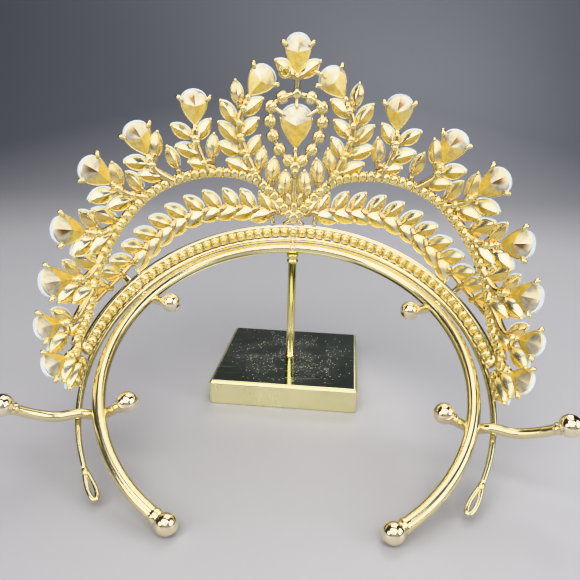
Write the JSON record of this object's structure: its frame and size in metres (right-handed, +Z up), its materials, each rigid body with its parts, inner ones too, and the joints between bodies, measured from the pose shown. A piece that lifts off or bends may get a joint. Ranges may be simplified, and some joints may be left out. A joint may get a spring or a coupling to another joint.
{
  "type": "tiara on a display stand",
  "caption": "Gilt tiara of leaf sprays and pear-cut stones over a beaded band, resting on a plain hoop stand with a post and a square base",
  "frame": {"origin": "Under the stand's post, on the surface that the base rests on", "axes": "+Z up; -Y the open side of the hoop and band, which the picture is taken from; +X to the picture's right"},
  "size_m": [0.1918, 0.1497, 0.1526],
  "materials": {
    "tiara_gilt": "polished gilt",
    "foiled_stone": "cut glass with a gold foil back",
    "stand_gilt": "polished pale gilt",
    "base_mirror": "mirror polished, dusty"
  },
  "bodies": {
    "root": {"stand_base": "base_mirror", "stand_post": "stand_gilt", "stand_hoop": "stand_gilt", "tiara_band": "tiara_gilt", "ornament_left": "tiara_gilt", "ornament_right": "tiara_gilt", "centre_motif": "tiara_gilt", "stone_centre": "foiled_stone", "stone_top": "foiled_stone", "stone_left_0": "foiled_stone", "stone_left_1": "foiled_stone", "stone_left_2": "foiled_stone", "stone_left_3": "foiled_stone", "stone_left_4": "foiled_stone", "stone_left_5": "foiled_stone", "stone_left_6": "foiled_stone", "stone_left_7": "foiled_stone", "stone_right_0": "foiled_stone", "stone_right_1": "foiled_stone", "stone_right_2": "foiled_stone", "stone_right_3": "foiled_stone", "stone_right_4": "foiled_stone", "stone_right_5": "foiled_stone", "stone_right_6": "foiled_stone", "stone_right_7": "foiled_stone"}
  },
  "joints": []
}
